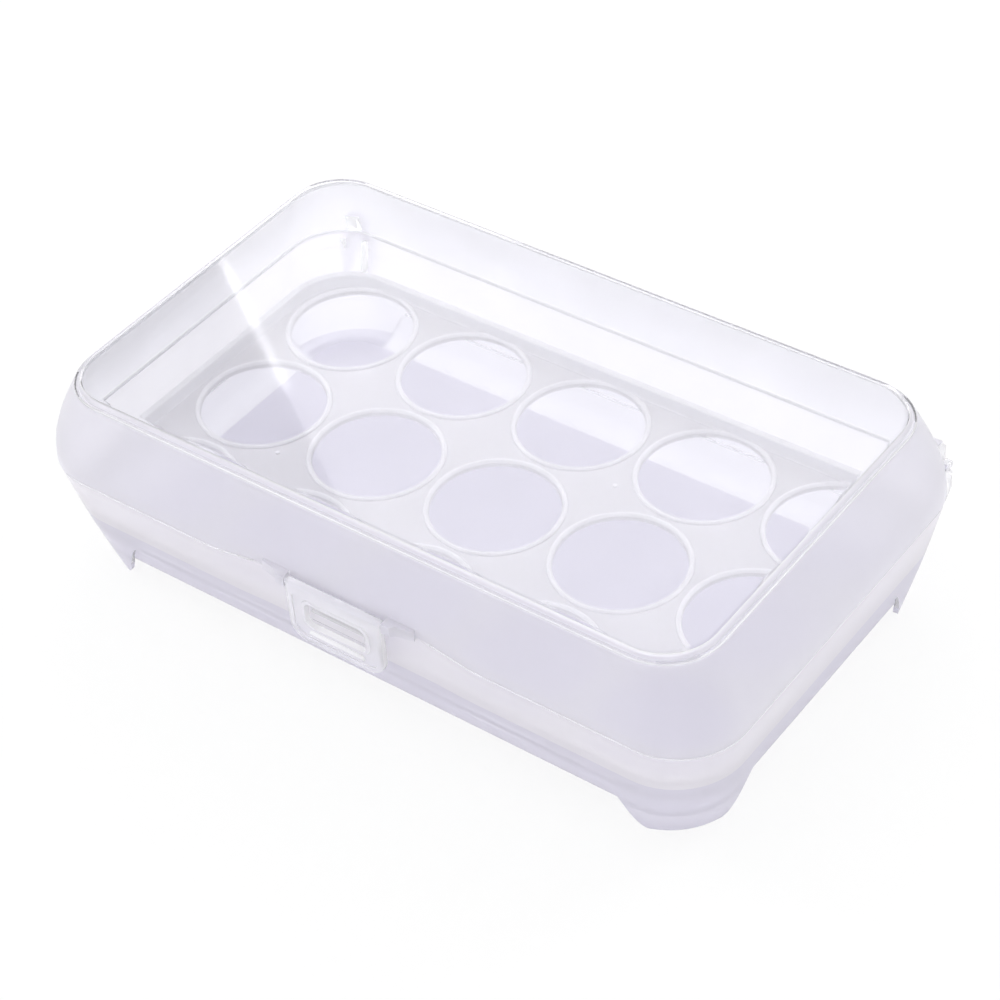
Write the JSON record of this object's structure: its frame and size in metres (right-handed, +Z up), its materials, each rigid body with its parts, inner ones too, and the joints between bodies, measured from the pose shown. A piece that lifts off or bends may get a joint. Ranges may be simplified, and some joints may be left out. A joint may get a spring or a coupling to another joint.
{
  "type": "egg storage box",
  "caption": "Rectangular footed egg box with a perforated lift-out egg rack, a domed clear-topped hinged lid and a swing latch with a finger slot.",
  "frame": {"origin": "centre of the box's bounding box, at the bottom of the feet", "axes": "+X along the long side, +Y towards the lid's hinges, +Z up; the latch faces -Y"},
  "size_m": [0.2398, 0.1504, 0.07],
  "materials": {
    "frosted_shell": "injection-moulded translucent polypropylene, fine matt texture outside",
    "natural_rack": "injection-moulded natural polypropylene, satin gloss",
    "clear_lid": "injection-moulded clarified polypropylene, polished window and fine matt walls",
    "clear_latch": "injection-moulded clarified polypropylene, satin"
  },
  "bodies": {
    "base": {"tray": "frosted_shell"},
    "rack": {"egg_rack": "natural_rack"},
    "cover": {"lid": "clear_lid"},
    "clip": {"latch": "clear_latch"}
  },
  "joints": [
    {"name": "lid_hinge", "type": "hinge", "parent": "base", "child": "cover", "pos_m": [0, 0.07305, 0.0387], "axis": [-1, 0, 0], "range_deg": [0, 110]},
    {"name": "latch_hinge", "type": "hinge", "parent": "cover", "child": "clip", "pos_m": [0, -0.07335, 0.0452], "axis": [-1, 0, 0], "range_deg": [0, 100]},
    {"name": "rack_lift", "type": "slide", "parent": "base", "child": "rack", "axis": [0, 0, 1], "range_m": [0, 0.024]}
  ]
}
